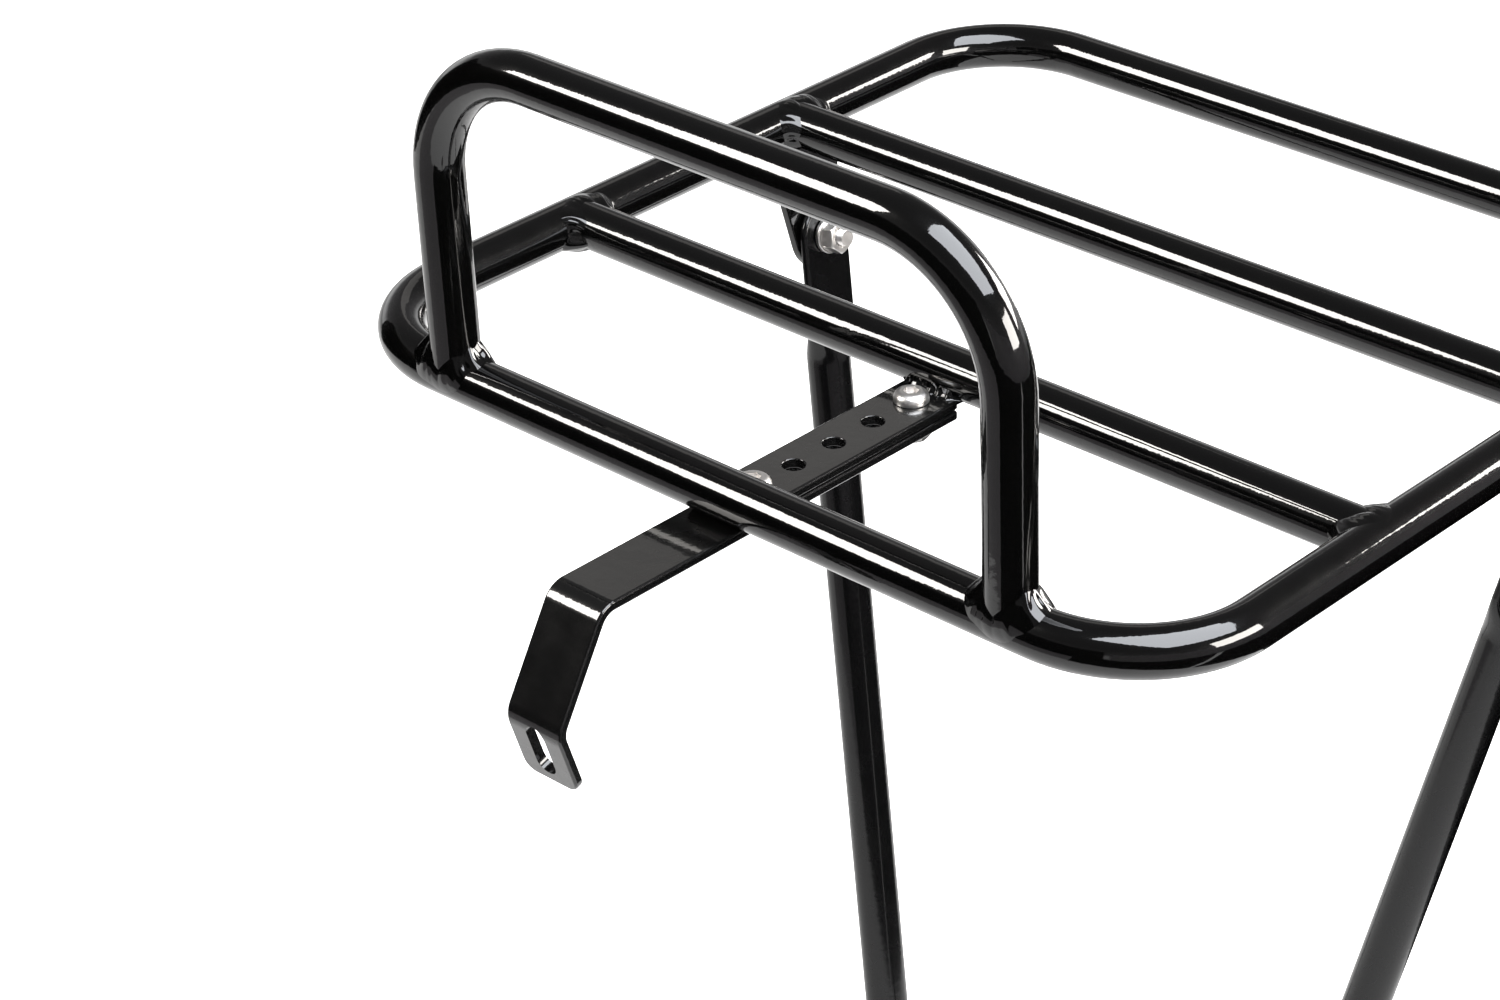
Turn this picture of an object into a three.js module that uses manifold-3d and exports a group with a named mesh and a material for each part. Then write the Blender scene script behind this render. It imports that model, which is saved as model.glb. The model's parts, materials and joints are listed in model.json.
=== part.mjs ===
// Bicycle front rack: a bent tube platform with a rear hoop, a slotted fork-crown
// bracket bolted under the platform, and two struts that pivot on welded tabs.
// Millimetres, +Z up, +Y towards the front of the bicycle, X = 0 is the mid plane.
// The parts are laid out from the middle of the rear rail's axis, and the last
// group moves the origin to the mouth of the slot that the fork-crown bolt uses.

import * as THREE from 'three';
import { mergeVertices } from 'three/addons/utils/BufferGeometryUtils.js';
import Module from 'manifold-3d';

const wasm = await Module();
wasm.setup();

// Driving dimensions
const TUBE_R = 7.3;
const TUBE_SIDES = 16;
const BEND_STEP = Math.PI / 18;
const GAP = 0.3;

const LOOP_WIDTH = 297.8;
const LOOP_DEPTH = 293.6;
const LOOP_CORNER_R = 39;
const CROSS_TUBE_Y = [94.4, 192.3];

const HOOP_WIDTH = 203.8;
const HOOP_HEIGHT = 103.6;
const HOOP_CORNER_R = 39.5;
const HOOP_LEAN = THREE.MathUtils.degToRad(2.1);

const STRAP_WIDTH = 20;
const STRAP_THICKNESS = 3;
const PLATE_TOP = -4.6;
const PLATE_REAR = 5.9;
const PLATE_FRONT = 88.4;
const HOLE_R = 3.3;
const HOLE_PITCH = 16.5;
const HOLE_COUNT = 5;
const FRONT_HOLE_Y = 79.5;

const STRAP_BEND_R = 8;
const STRAP_CORNER_Y = -55;
const STRAP_DROP = 32;
const STRAP_SLANT = THREE.MathUtils.degToRad(30);
const TONGUE_TILT = THREE.MathUtils.degToRad(18.5);
const TONGUE_LENGTH = 22;
const TONGUE_CORNER_R = 4;
const SLOT_WIDTH = 7;
const SLOT_LENGTH = 17.5;
const SLOT_FROM_CORNER = 9.8;

const LEG_SPLAY = THREE.MathUtils.degToRad(11.6);
const LEG_SWEEP = THREE.MathUtils.degToRad(5.9);
const LEG_PIVOT = new THREE.Vector3(137.7, 195.8, -38.7);
const LEG_OFFSET = 2.7;
const LEG_LENGTH = 395;
const FLAT_HALF_WIDTH = 10.5;
const FLAT_THICKNESS = 3;
const TOP_FLAT = 27;
const FOOT_FLAT = 60;
const FLARE = 16;
const FOOT_HOLE_R = 2.75;
const FOOT_HOLES = [10, 25, 40];

const TAB_THICKNESS = 3;
const TAB_END_R = 11;
const TAB_TOP_HALF_WIDTH = 15.6;
const TAB_HEIGHT = 32.1;

const BOLT_R = 2.9;
const HEAD_R = 5.25;
const HEAD_HEIGHT = 3.3;
const SOCKET_R = 2.3;
const SOCKET_DEPTH = 2;
const NUT_ACROSS_FLATS = 10;
const NUT_HEIGHT = 5;
const WASHER_R = 6;
const WASHER_THICKNESS = 1.6;
const CLEAR_BORE_R = BOLT_R + GAP;

const PLATE_BOTTOM = PLATE_TOP - STRAP_THICKNESS;
const STRAP_TOP = PLATE_BOTTOM - GAP;
const TURN_1 = Math.PI / 2 - STRAP_SLANT;
const TURN_2 = STRAP_SLANT + TONGUE_TILT;

const black = { color: 0x0b0b0c, roughness: 0.18, metalness: 0.1 };
const softBlack = { color: 0x1c1c1f, roughness: 0.35, metalness: 0.1 };
const stainless = { color: 0xb9b5ad, roughness: 0.3, metalness: 1 };

function piece(name, geometry, look) {
  const mesh = new THREE.Mesh(geometry, new THREE.MeshStandardMaterial(look));
  mesh.name = name;
  return mesh;
}

// A closed three.js geometry becomes a solid that can be joined and cut.
function solid(geometry) {
  const bare = geometry.clone();
  bare.deleteAttribute('normal');
  bare.deleteAttribute('uv');
  const merged = mergeVertices(bare, 1e-4);
  const mesh = new wasm.Mesh({
    numProp: 3,
    vertProperties: new Float32Array(merged.attributes.position.array),
    triVerts: new Uint32Array(merged.index.array),
  });
  return new wasm.Manifold(mesh);
}

function geometryOf(body) {
  const mesh = body.getMesh();
  const geometry = new THREE.BufferGeometry();
  geometry.setAttribute('position', new THREE.BufferAttribute(mesh.vertProperties, 3));
  geometry.setIndex(new THREE.BufferAttribute(mesh.triVerts, 1));
  geometry.computeVertexNormals();
  return geometry;
}

function cut(geometry, ...cutters) {
  let body = solid(geometry);
  for (const cutter of cutters) body = body.subtract(solid(cutter));
  return geometryOf(body);
}

function rod(radius, length, axis, centre, sides = TUBE_SIDES) {
  const geometry = new THREE.CylinderGeometry(radius, radius, length, sides);
  if (axis === 'x') geometry.rotateZ(Math.PI / 2);
  if (axis === 'z') geometry.rotateX(Math.PI / 2);
  return geometry.translate(centre[0], centre[1], centre[2]);
}

// Follows a flat route of straights and bends, and returns its stations.
function route(start, heading, moves) {
  const stations = [];
  const at = new THREE.Vector2(start[0], start[1]);
  let angle = heading;
  const mark = () => stations.push({ point: at.clone(), angle });
  mark();
  for (const move of moves) {
    if (move.length) {
      at.x += move.length * Math.cos(angle);
      at.y += move.length * Math.sin(angle);
      mark();
      continue;
    }
    const steps = Math.max(3, Math.ceil(Math.abs(move.turn) / BEND_STEP));
    const side = Math.sign(move.turn);
    const cx = at.x - side * move.radius * Math.sin(angle);
    const cy = at.y + side * move.radius * Math.cos(angle);
    for (let i = 1; i <= steps; i += 1) {
      const turned = angle + (move.turn * i) / steps;
      at.x = cx + side * move.radius * Math.sin(turned);
      at.y = cy - side * move.radius * Math.cos(turned);
      stations.push({ point: at.clone(), angle: turned });
    }
    angle += move.turn;
  }
  return stations;
}

// A curve that visits the stations one by one, so bends get sections and straights don't.
class StationPath extends THREE.Curve {
  constructor(stations, lift) {
    super();
    this.stations = stations;
    this.lift = lift;
  }

  station(u) {
    return this.stations[Math.round(u * (this.stations.length - 1))];
  }

  getPointAt(u, target = new THREE.Vector3()) {
    const { point } = this.station(u);
    return target.copy(this.lift(point.x, point.y));
  }

  getTangentAt(u, target = new THREE.Vector3()) {
    const { angle } = this.station(u);
    return target.copy(this.lift(Math.cos(angle), Math.sin(angle)));
  }
}

function bentTube(stations, lift) {
  const section = new THREE.Shape();
  section.absarc(0, 0, TUBE_R, 0, 2 * Math.PI, false);
  return new THREE.ExtrudeGeometry(section, {
    steps: stations.length - 1,
    curveSegments: TUBE_SIDES,
    extrudePath: new StationPath(stations, lift),
  });
}

// The platform's outer tube, closed: two equal halves joined at the mid plane.
function railLoop() {
  const side = LOOP_WIDTH / 2 - LOOP_CORNER_R;
  const corner = { turn: Math.PI / 2, radius: LOOP_CORNER_R };
  const stations = route([0, LOOP_DEPTH], Math.PI, [
    { length: side },
    corner,
    { length: LOOP_DEPTH - 2 * LOOP_CORNER_R },
    corner,
    { length: side },
  ]);
  const half = bentTube(stations, (x, y) => new THREE.Vector3(x, y, 0));
  const other = half.clone().rotateZ(Math.PI).translate(0, LOOP_DEPTH, 0);
  return piece('rail_loop', geometryOf(solid(half).add(solid(other))), black);
}

function sideRailCutter(side) {
  return rod(TUBE_R + GAP, LOOP_DEPTH, 'y', [(side * LOOP_WIDTH) / 2, LOOP_DEPTH / 2, 0]);
}

function rearRailCutter() {
  return rod(TUBE_R + GAP, LOOP_WIDTH, 'x', [0, 0, 0]);
}

function crossTube(name, y) {
  const tube = rod(TUBE_R, LOOP_WIDTH, 'x', [0, y, 0]);
  return piece(name, cut(tube, sideRailCutter(-1), sideRailCutter(1)), black);
}

// The rear hoop stands on the rear rail, its feet coped round it.
function hoop() {
  const rise = HOOP_HEIGHT - HOOP_CORNER_R;
  const corner = { turn: -Math.PI / 2, radius: HOOP_CORNER_R };
  const stations = route([-HOOP_WIDTH / 2, 0], Math.PI / 2, [
    { length: rise },
    corner,
    { length: HOOP_WIDTH - 2 * HOOP_CORNER_R },
    corner,
    { length: rise },
  ]);
  const tube = bentTube(stations, (x, z) => new THREE.Vector3(x, 0, z));
  return piece('rear_hoop', cut(tube.rotateX(HOOP_LEAN), rearRailCutter()), black);
}

function holeRowY() {
  return Array.from({ length: HOLE_COUNT }, (unused, i) => FRONT_HOLE_Y - i * HOLE_PITCH);
}

// The welded plate under the platform, with the row of adjusting holes.
function bracketPlate() {
  const outline = new THREE.Shape();
  outline.moveTo(-STRAP_WIDTH / 2, PLATE_REAR);
  outline.lineTo(STRAP_WIDTH / 2, PLATE_REAR);
  outline.lineTo(STRAP_WIDTH / 2, PLATE_FRONT);
  outline.lineTo(-STRAP_WIDTH / 2, PLATE_FRONT);
  for (const y of holeRowY()) {
    outline.holes.push(new THREE.Path().absarc(0, y, HOLE_R, 0, 2 * Math.PI, true));
  }
  const geometry = new THREE.ExtrudeGeometry(outline, {
    depth: STRAP_THICKNESS,
    bevelEnabled: false,
    curveSegments: 16,
  });
  return piece('bracket_plate', geometry.translate(0, 0, PLATE_BOTTOM), black);
}

function strapCorner() {
  const run = STRAP_DROP * Math.tan(STRAP_SLANT);
  return new THREE.Vector2(STRAP_CORNER_Y - run, STRAP_TOP - STRAP_DROP);
}

// A place on the tongue's rear face, measured down from the lower bend's corner.
function tonguePoint(down) {
  const corner = strapCorner();
  const y = corner.x + down * Math.sin(TONGUE_TILT);
  const z = corner.y - down * Math.cos(TONGUE_TILT);
  return new THREE.Vector3(0, y, z);
}

function strapProfile() {
  const half = STRAP_THICKNESS / 2;
  const radius = STRAP_BEND_R - half;
  const setback1 = STRAP_BEND_R * Math.tan(TURN_1 / 2);
  const setback2 = STRAP_BEND_R * Math.tan(TURN_2 / 2);
  const stations = route([PLATE_FRONT, STRAP_TOP - half], Math.PI, [
    { length: PLATE_FRONT - STRAP_CORNER_Y - setback1 },
    { turn: TURN_1, radius },
    { length: STRAP_DROP / Math.cos(STRAP_SLANT) - setback1 - setback2 },
    { turn: TURN_2, radius },
    { length: TONGUE_LENGTH - setback2 },
  ]);
  const offset = (sign) => stations.map(({ point, angle }) => new THREE.Vector2(
    point.x - sign * half * Math.sin(angle),
    point.y + sign * half * Math.cos(angle),
  ));
  return new THREE.Shape([...offset(1), ...offset(-1).reverse()]);
}

// Puts a flat outline (across, down) on the tongue, so that it cuts right through.
function throughTongue(outline) {
  const depth = 6 * STRAP_THICKNESS;
  const geometry = new THREE.ExtrudeGeometry(outline, { depth, bevelEnabled: false, curveSegments: 8 });
  geometry.translate(0, 0, -depth / 2);
  const across = new THREE.Vector3(1, 0, 0);
  const up = new THREE.Vector3(0, -Math.sin(TONGUE_TILT), Math.cos(TONGUE_TILT));
  const out = new THREE.Vector3().crossVectors(across, up);
  const frame = new THREE.Matrix4().makeBasis(across, up, out);
  return geometry.applyMatrix4(frame.setPosition(tonguePoint(0)));
}

function slotOutline() {
  const r = SLOT_WIDTH / 2;
  const reach = SLOT_LENGTH / 2 - r;
  const outline = new THREE.Shape();
  outline.absarc(0, -SLOT_FROM_CORNER - reach, r, Math.PI, 2 * Math.PI, false);
  outline.absarc(0, -SLOT_FROM_CORNER + reach, r, 0, Math.PI, false);
  return outline;
}

// What lies outside a rounded lower corner of the tongue.
function cornerOutline(side) {
  const r = TONGUE_CORNER_R;
  const x = side * (STRAP_WIDTH / 2 - r);
  const y = -TONGUE_LENGTH + r;
  const edge = side * (STRAP_WIDTH / 2 + 1);
  const outline = new THREE.Shape();
  outline.moveTo(side * (STRAP_WIDTH / 2), y);
  outline.lineTo(edge, y);
  outline.lineTo(edge, -TONGUE_LENGTH - 1);
  outline.lineTo(x, -TONGUE_LENGTH - 1);
  outline.absarc(x, y, r, -Math.PI / 2, side > 0 ? 0 : -Math.PI, side < 0);
  return outline;
}

// The long strap that reaches back from the platform and down to the fork crown.
function crownBracket() {
  const strap = new THREE.ExtrudeGeometry(strapProfile(), { depth: STRAP_WIDTH, bevelEnabled: false });
  strap.translate(0, 0, -STRAP_WIDTH / 2);
  // The profile's (y, z) axes turn into the part's own, and its depth into X.
  strap.applyMatrix4(new THREE.Matrix4().set(0, 0, 1, 0, 1, 0, 0, 0, 0, 1, 0, 0, 0, 0, 0, 1));
  const holes = holeRowY().map((y) => rod(HOLE_R, 4 * STRAP_THICKNESS, 'z', [0, y, STRAP_TOP]));
  const corners = [-1, 1].map((side) => throughTongue(cornerOutline(side)));
  return piece('crown_bracket', cut(strap, ...holes, throughTongue(slotOutline()), ...corners), black);
}

// A button-head screw along +Z: the head stands on z = 0 and the shank hangs below.
function buttonScrew(name, length) {
  const rim = 0.6;
  const profile = [new THREE.Vector2(0, -length), new THREE.Vector2(BOLT_R, -length)];
  profile.push(new THREE.Vector2(BOLT_R, 0), new THREE.Vector2(HEAD_R, 0));
  for (let i = 0; i < 5; i += 1) {
    const t = (i / 5) * (Math.PI / 2);
    profile.push(new THREE.Vector2(HEAD_R * Math.cos(t), rim + (HEAD_HEIGHT - rim) * Math.sin(t)));
  }
  profile.push(new THREE.Vector2(0, HEAD_HEIGHT));
  const screw = new THREE.LatheGeometry(profile, 16).rotateX(Math.PI / 2);
  const socket = rod(SOCKET_R, 2 * SOCKET_DEPTH, 'z', [0, 0, HEAD_HEIGHT], 6);
  return piece(name, cut(screw, socket), stainless);
}

function nut(name) {
  const corner = NUT_ACROSS_FLATS / 2 / Math.cos(Math.PI / 6);
  const hexagon = rod(corner, NUT_HEIGHT, 'z', [0, 0, NUT_HEIGHT / 2], 6);
  const bore = rod(CLEAR_BORE_R, 3 * NUT_HEIGHT, 'z', [0, 0, 0]);
  return piece(name, cut(hexagon, bore), stainless);
}

function washer(name) {
  const ring = rod(WASHER_R, WASHER_THICKNESS, 'z', [0, 0, WASHER_THICKNESS / 2], 24);
  const bore = rod(CLEAR_BORE_R, 3 * NUT_HEIGHT, 'z', [0, 0, 0]);
  return piece(name, cut(ring, bore), stainless);
}

// The two screws that clamp the strap under the plate use the outermost holes.
function bracketFastener(place, y) {
  const screw = buttonScrew(`${place}_bracket_bolt`, 12.5);
  screw.position.set(0, y, PLATE_TOP + GAP);
  const below = nut(`${place}_bracket_nut`);
  below.position.set(0, y, STRAP_TOP - STRAP_THICKNESS - GAP - NUT_HEIGHT);
  return [screw, below];
}

// The tab stops just under the side rail, in a plane beside the one that the leg swings in.
function legTab(name, side) {
  const reach = Math.hypot(TAB_TOP_HALF_WIDTH, TAB_HEIGHT);
  const lean = Math.atan2(TAB_HEIGHT, TAB_TOP_HALF_WIDTH);
  const touch = lean - Math.acos(TAB_END_R / reach);
  const outline = new THREE.Shape();
  outline.moveTo(TAB_TOP_HALF_WIDTH, TAB_HEIGHT);
  outline.lineTo(-TAB_TOP_HALF_WIDTH, TAB_HEIGHT);
  outline.absarc(0, 0, TAB_END_R, Math.PI - touch, 2 * Math.PI + touch, false);
  outline.holes.push(new THREE.Path().absarc(0, 0, HOLE_R, 0, 2 * Math.PI, true));
  const geometry = new THREE.ExtrudeGeometry(outline, {
    depth: TAB_THICKNESS,
    bevelEnabled: false,
    curveSegments: 14,
  });
  geometry.translate(0, 0, FLAT_THICKNESS / 2 + GAP);
  geometry.applyMatrix4(new THREE.Matrix4().makeBasis(
    new THREE.Vector3(0, side, 0),
    new THREE.Vector3(0, 0, 1),
    new THREE.Vector3(side, 0, 0),
  ));
  geometry.applyMatrix4(legFrame(side).matrix);
  return piece(name, geometry, black);
}

// The frame of a leg's pivot: X along the bolt's axis and Z up the leg's plane.
function legFrame(side) {
  const frame = new THREE.Group();
  frame.position.set(side * LEG_PIVOT.x, LEG_PIVOT.y, LEG_PIVOT.z);
  frame.rotation.y = side * LEG_SPLAY;
  frame.updateMatrix();
  return frame;
}

function blend(t) {
  const k = THREE.MathUtils.clamp(t, 0, 1);
  return k * k * (3 - 2 * k);
}

// The leg's section at a distance below its upper end: flat, flared, round and flat again.
function legSection(down) {
  const toRound = blend((down - FLAT_HALF_WIDTH - TOP_FLAT) / FLARE);
  const toFlat = blend((down - (LEG_LENGTH + FLAT_HALF_WIDTH - FOOT_FLAT - FLARE)) / FLARE);
  const round = toRound * (1 - toFlat);
  const fromEnd = Math.min(down, LEG_LENGTH + FLAT_HALF_WIDTH - down);
  const inset = Math.max(0, FLAT_HALF_WIDTH - fromEnd);
  const rounded = Math.sqrt(Math.max(0, FLAT_HALF_WIDTH ** 2 - inset ** 2));
  return {
    halfWidth: THREE.MathUtils.lerp(Math.max(rounded, FLAT_THICKNESS), TUBE_R, round),
    halfDepth: THREE.MathUtils.lerp(FLAT_THICKNESS / 2, TUBE_R, round),
    outward: LEG_OFFSET * toRound,
  };
}

function legStations() {
  const total = LEG_LENGTH + FLAT_HALF_WIDTH;
  const ends = [0, 1.2, 3, 6, FLAT_HALF_WIDTH];
  const top = FLAT_HALF_WIDTH + TOP_FLAT;
  const foot = total - FOOT_FLAT - FLARE;
  const flare = [0, 0.2, 0.4, 0.6, 0.8, 1].map((t) => t * FLARE);
  const lower = ends.map((d) => total - d).reverse();
  return [...ends, ...flare.map((d) => top + d), ...flare.map((d) => foot + d), ...lower];
}

// The foot turns back upright where its flare ends, flush with the wheel's axle end.
function footBend(down) {
  const start = LEG_LENGTH + FLAT_HALF_WIDTH - FOOT_FLAT;
  const past = Math.max(0, down - start);
  return new THREE.Vector2(past * Math.sin(LEG_SPLAY), start + past * Math.cos(LEG_SPLAY));
}

// A plain cylinder is reshaped ring by ring. Points are (depth, width, up) at the pivot.
function leg(name, side) {
  const stations = legStations();
  const rows = stations.length - 1;
  const geometry = new THREE.CylinderGeometry(1, 1, 1, 24, rows);
  const position = geometry.attributes.position;
  const start = LEG_LENGTH + FLAT_HALF_WIDTH - FOOT_FLAT;
  for (let i = 0; i < position.count; i += 1) {
    const down = stations[Math.round((0.5 - position.getY(i)) * rows)];
    const { halfWidth, halfDepth, outward } = legSection(down);
    const radius = Math.hypot(position.getX(i), position.getZ(i));
    const angle = Math.atan2(position.getZ(i), position.getX(i)) + Math.PI / 24;
    const flank = Math.sign(Math.cos(angle)) * (halfWidth - halfDepth);
    const width = radius * (flank + halfDepth * Math.cos(angle));
    const depth = radius * halfDepth * Math.sin(angle);
    const bent = down > start;
    const [shift, drop] = bent ? footBend(down).toArray() : [0, down];
    const turn = bent ? LEG_SPLAY : (down === start ? LEG_SPLAY / 2 : 0);
    const x = depth * Math.cos(turn) + outward + shift;
    const z = FLAT_HALF_WIDTH - drop + depth * Math.sin(turn);
    position.setXYZ(i, side * x, side * width, z);
  }
  const pivot = rod(HOLE_R, 20, 'x', [0, 0, 0]);
  const holes = FOOT_HOLES.map((up) => footHole(side, up));
  const shaped = cut(geometry, pivot, ...holes);
  const mesh = piece(name, shaped, softBlack);
  mesh.rotation.x = -LEG_SWEEP;
  return mesh;
}

// A fork-end hole goes square through the foot, a distance up from its lower tip.
function footHole(side, up) {
  const centre = footBend(LEG_LENGTH + FLAT_HALF_WIDTH - up);
  const hole = rod(FOOT_HOLE_R, 20, 'x', [0, 0, 0]).rotateY(-side * LEG_SPLAY);
  return hole.translate(side * (LEG_OFFSET + centre.x), 0, FLAT_HALF_WIDTH - centre.y);
}

// The pivot bolt passes the tab and the leg, with its nut on the inner side.
function legFasteners(place, side) {
  const clampFace = FLAT_THICKNESS / 2 + GAP;
  const inward = (mesh, x) => {
    mesh.position.set(-side * x, 0, 0);
    mesh.rotation.y = (-side * Math.PI) / 2;
    return mesh;
  };
  const bolt = buttonScrew(`${place}_leg_bolt`, 15.5);
  bolt.position.set(side * (clampFace + TAB_THICKNESS + GAP), 0, 0);
  bolt.rotation.y = (side * Math.PI) / 2;
  return [
    bolt,
    inward(washer(`${place}_leg_washer`), clampFace),
    inward(nut(`${place}_leg_nut`), clampFace + WASHER_THICKNESS + GAP),
  ];
}

function legSide(place, side) {
  const frame = legFrame(side);
  frame.add(leg(`${place}_leg`, side), ...legFasteners(place, side));
  return [legTab(`${place}_leg_tab`, side), frame];
}

const rack = new THREE.Group();
rack.add(railLoop());
rack.add(crossTube('rear_cross_tube', CROSS_TUBE_Y[0]));
rack.add(crossTube('front_cross_tube', CROSS_TUBE_Y[1]));
rack.add(hoop());
rack.add(bracketPlate());
rack.add(crownBracket());
rack.add(...bracketFastener('front', FRONT_HOLE_Y));
rack.add(...bracketFastener('rear', FRONT_HOLE_Y - (HOLE_COUNT - 1) * HOLE_PITCH));
rack.add(...legSide('left', -1));
rack.add(...legSide('right', 1));
rack.position.copy(tonguePoint(SLOT_FROM_CORNER)).negate();

const part = new THREE.Group();
part.add(rack);

export default part;
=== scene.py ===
# %% [markdown]
# # A bicycle's front rack
#
# The rack is bent from one size of steel tube, welded, and coated in deep gloss black. A lesson
# in tubes, then: how to sweep them, how to join them, how to lay a weld bead over a joint, and
# how to make a black finish look black. The solid model gives the rack's places and sizes, so no
# piece is fitted by eye. Only the lamps and cards round it are placed one by one. All lengths are
# in metres.

# %% Load the frame
import json
import math

import bmesh
import bpy
from mathutils import Matrix, Vector, noise


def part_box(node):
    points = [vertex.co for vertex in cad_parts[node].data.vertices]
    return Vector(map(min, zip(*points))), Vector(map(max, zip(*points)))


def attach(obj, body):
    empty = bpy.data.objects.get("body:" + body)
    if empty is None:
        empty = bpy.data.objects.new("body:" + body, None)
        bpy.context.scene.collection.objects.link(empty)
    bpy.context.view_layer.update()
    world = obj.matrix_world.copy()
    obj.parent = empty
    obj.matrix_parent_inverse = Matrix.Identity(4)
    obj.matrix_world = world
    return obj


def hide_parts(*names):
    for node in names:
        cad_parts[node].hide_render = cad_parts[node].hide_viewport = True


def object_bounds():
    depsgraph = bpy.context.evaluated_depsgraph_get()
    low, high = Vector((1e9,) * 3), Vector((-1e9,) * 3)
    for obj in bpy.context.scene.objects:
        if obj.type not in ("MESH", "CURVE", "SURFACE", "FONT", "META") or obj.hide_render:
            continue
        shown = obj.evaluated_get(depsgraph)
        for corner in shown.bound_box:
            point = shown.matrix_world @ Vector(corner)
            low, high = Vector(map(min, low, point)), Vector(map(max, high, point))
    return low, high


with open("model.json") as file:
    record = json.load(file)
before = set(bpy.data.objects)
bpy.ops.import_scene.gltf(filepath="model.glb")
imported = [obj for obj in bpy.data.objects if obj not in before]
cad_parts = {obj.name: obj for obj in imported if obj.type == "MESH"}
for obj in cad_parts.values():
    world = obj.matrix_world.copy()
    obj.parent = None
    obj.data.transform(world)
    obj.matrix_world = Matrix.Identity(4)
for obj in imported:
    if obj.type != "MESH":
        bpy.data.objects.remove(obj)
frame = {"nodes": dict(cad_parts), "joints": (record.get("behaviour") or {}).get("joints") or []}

CAD_BOX = [list(corner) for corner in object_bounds()]
MM = 0.001
X = Vector((1, 0, 0))
Y = Vector((0, 1, 0))
Z = Vector((0, 0, 1))
print("solids:", len(frame["nodes"]))

# %% [markdown]
# ## The finishes
#
# Gloss black is hard because there is almost nothing to see but reflections. The colour is
# nearly zero, and a clear coat lies on it. What tells paint from plastic is orange peel: the
# coat's surface rolls gently over a millimetre or two, so the edge of a reflected lamp wavers.
# Two noises of different sizes drive one bump for that. They read Object coordinates, which run
# on without a seam from tube to tube.

# %% A helper for node materials
def new_material(name):
    """Return a new material with its nodes, its links and its shader."""
    material = bpy.data.materials.new(name)
    material.use_nodes = True
    nodes = material.node_tree.nodes
    return material, nodes, material.node_tree.links, nodes["Principled BSDF"]


def noise_node(nodes, links, size, detail=2.0):
    """A noise with features about the given size, on Object coordinates."""
    place = nodes.new("ShaderNodeTexCoord")
    texture = nodes.new("ShaderNodeTexNoise")
    texture.inputs["Scale"].default_value = 1.0 / size
    texture.inputs["Detail"].default_value = detail
    links.new(place.outputs["Object"], texture.inputs["Vector"])
    return texture


def remap(nodes, links, source, low, high):
    """Stretch a noise's middle range to run from low to high."""
    node = nodes.new("ShaderNodeMapRange")
    node.inputs["From Min"].default_value = 0.3
    node.inputs["From Max"].default_value = 0.7
    node.inputs["To Min"].default_value = low
    node.inputs["To Max"].default_value = high
    links.new(source, node.inputs["Value"])
    return node.outputs["Result"]


def bump(nodes, links, shader, source, height, also=None):
    """Bump the shader by a noise, on top of another bump if one is given."""
    node = nodes.new("ShaderNodeBump")
    node.inputs["Distance"].default_value = height
    links.new(source, node.inputs["Height"])
    if also:
        links.new(also.outputs["Normal"], node.inputs["Normal"])
    links.new(node.outputs["Normal"], shader.inputs["Normal"])
    return node


# %% The painted finishes
def black_coat(name, colour, rough, under, coat, coat_rough, peel):
    """Black paint under a clear coat. Under is the paint's own shine, and peel its height."""
    material, nodes, links, shader = new_material(name)
    shader.inputs["Base Color"].default_value = (*colour, 1)
    shader.inputs["Specular IOR Level"].default_value = under
    shader.inputs["Coat Weight"].default_value = coat
    shader.inputs["Coat Roughness"].default_value = coat_rough
    shader.inputs["Coat IOR"].default_value = 1.5
    patches = noise_node(nodes, links, 9 * MM)
    links.new(remap(nodes, links, patches.outputs["Fac"], *rough), shader.inputs["Roughness"])
    rolling = noise_node(nodes, links, 3.2 * MM, 1.0)
    fine = noise_node(nodes, links, 0.9 * MM, 1.0)
    first = bump(nodes, links, shader, rolling.outputs["Fac"], peel)
    second = bump(nodes, links, shader, fine.outputs["Fac"], 0.25 * peel, first)
    links.new(second.outputs["Normal"], shader.inputs["Coat Normal"])
    return material


GLOSS = black_coat(
    "gloss black coat", colour=(0.0007, 0.0007, 0.0007), rough=(0.20, 0.30), under=0.025,
    coat=1.0, coat_rough=0.04, peel=0.030 * MM,
)
BAR = black_coat(
    "gloss black on flat bar", colour=(0.0020, 0.0020, 0.0020), rough=(0.20, 0.30), under=0.10,
    coat=1.0, coat_rough=0.06, peel=0.035 * MM,
)
SOFT = black_coat(
    "softer black coat", colour=(0.0010, 0.0010, 0.0011), rough=(0.22, 0.30), under=0.08,
    coat=0.55, coat_rough=0.10, peel=0.018 * MM,
)


# %% The bare steel finish
def stainless():
    """Turned and lightly tumbled stainless steel."""
    material, nodes, links, shader = new_material("stainless steel")
    shader.inputs["Base Color"].default_value = (0.74, 0.72, 0.70, 1)
    shader.inputs["Metallic"].default_value = 1.0
    patches = noise_node(nodes, links, 1.6 * MM, 3.0)
    links.new(remap(nodes, links, patches.outputs["Fac"], 0.30, 0.38), shader.inputs["Roughness"])
    grain = noise_node(nodes, links, 0.5 * MM, 3.0)
    bump(nodes, links, shader, grain.outputs["Fac"], 0.006 * MM)
    return material


STEEL = stainless()
print("finishes:", [m.name for m in (GLOSS, BAR, SOFT, STEEL)])

# %% [markdown]
# ## Where things are
#
# The solids' boxes give the tube's radius, the rails' axes and the cross tubes' places. A few
# sizes that a box can't tell, such as the bends' radii, are the rack's own driving sizes.

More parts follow.
